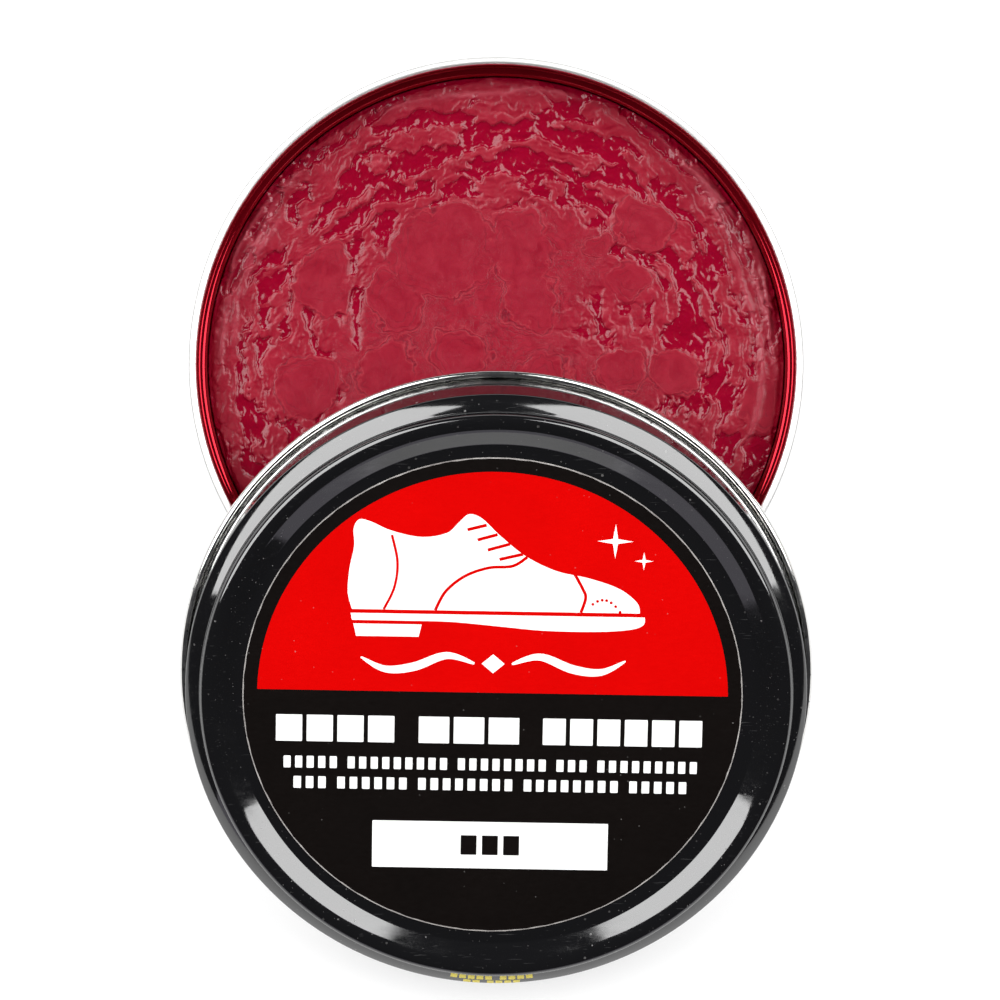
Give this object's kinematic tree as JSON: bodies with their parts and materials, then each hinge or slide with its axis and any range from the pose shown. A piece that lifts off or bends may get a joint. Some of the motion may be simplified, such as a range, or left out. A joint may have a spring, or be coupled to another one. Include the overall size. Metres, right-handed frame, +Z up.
{
  "type": "shoe polish tin",
  "caption": "Round tin of red wax shoe polish, open, with its black slip-on lid leaning on the rim of the base. The lid lifts off straight up.",
  "frame": {"origin": "Centre of the flat underside of the base, on the surface that the tin stands on.", "axes": "+Z is up. +Y points from the leaning lid towards the back of the base. +X is to the right, seen from the lid's side."},
  "size_m": [0.0888, 0.1302, 0.0363],
  "materials": {
    "tinplate": "bright bare tinplate, drawn, near mirror",
    "red_wax": "soft glossy red wax with smooth pools and a wrinkled skin",
    "black_lacquer": "gloss black lacquer on tinplate, with a bare rolled edge",
    "printed_label": "satin printed paper, red dome on black",
    "white_label": "satin white paper"
  },
  "bodies": {
    "base": {"tin_base": "tinplate", "wax_cake": "red_wax"},
    "lid": {"lid_shell": "black_lacquer", "lid_label": "printed_label", "shade_label": "white_label"}
  },
  "joints": [
    {"name": "lid_lift", "type": "slide", "parent": "base", "child": "lid", "axis": [0, 0, 1], "range_m": [0, 0.045]}
  ]
}
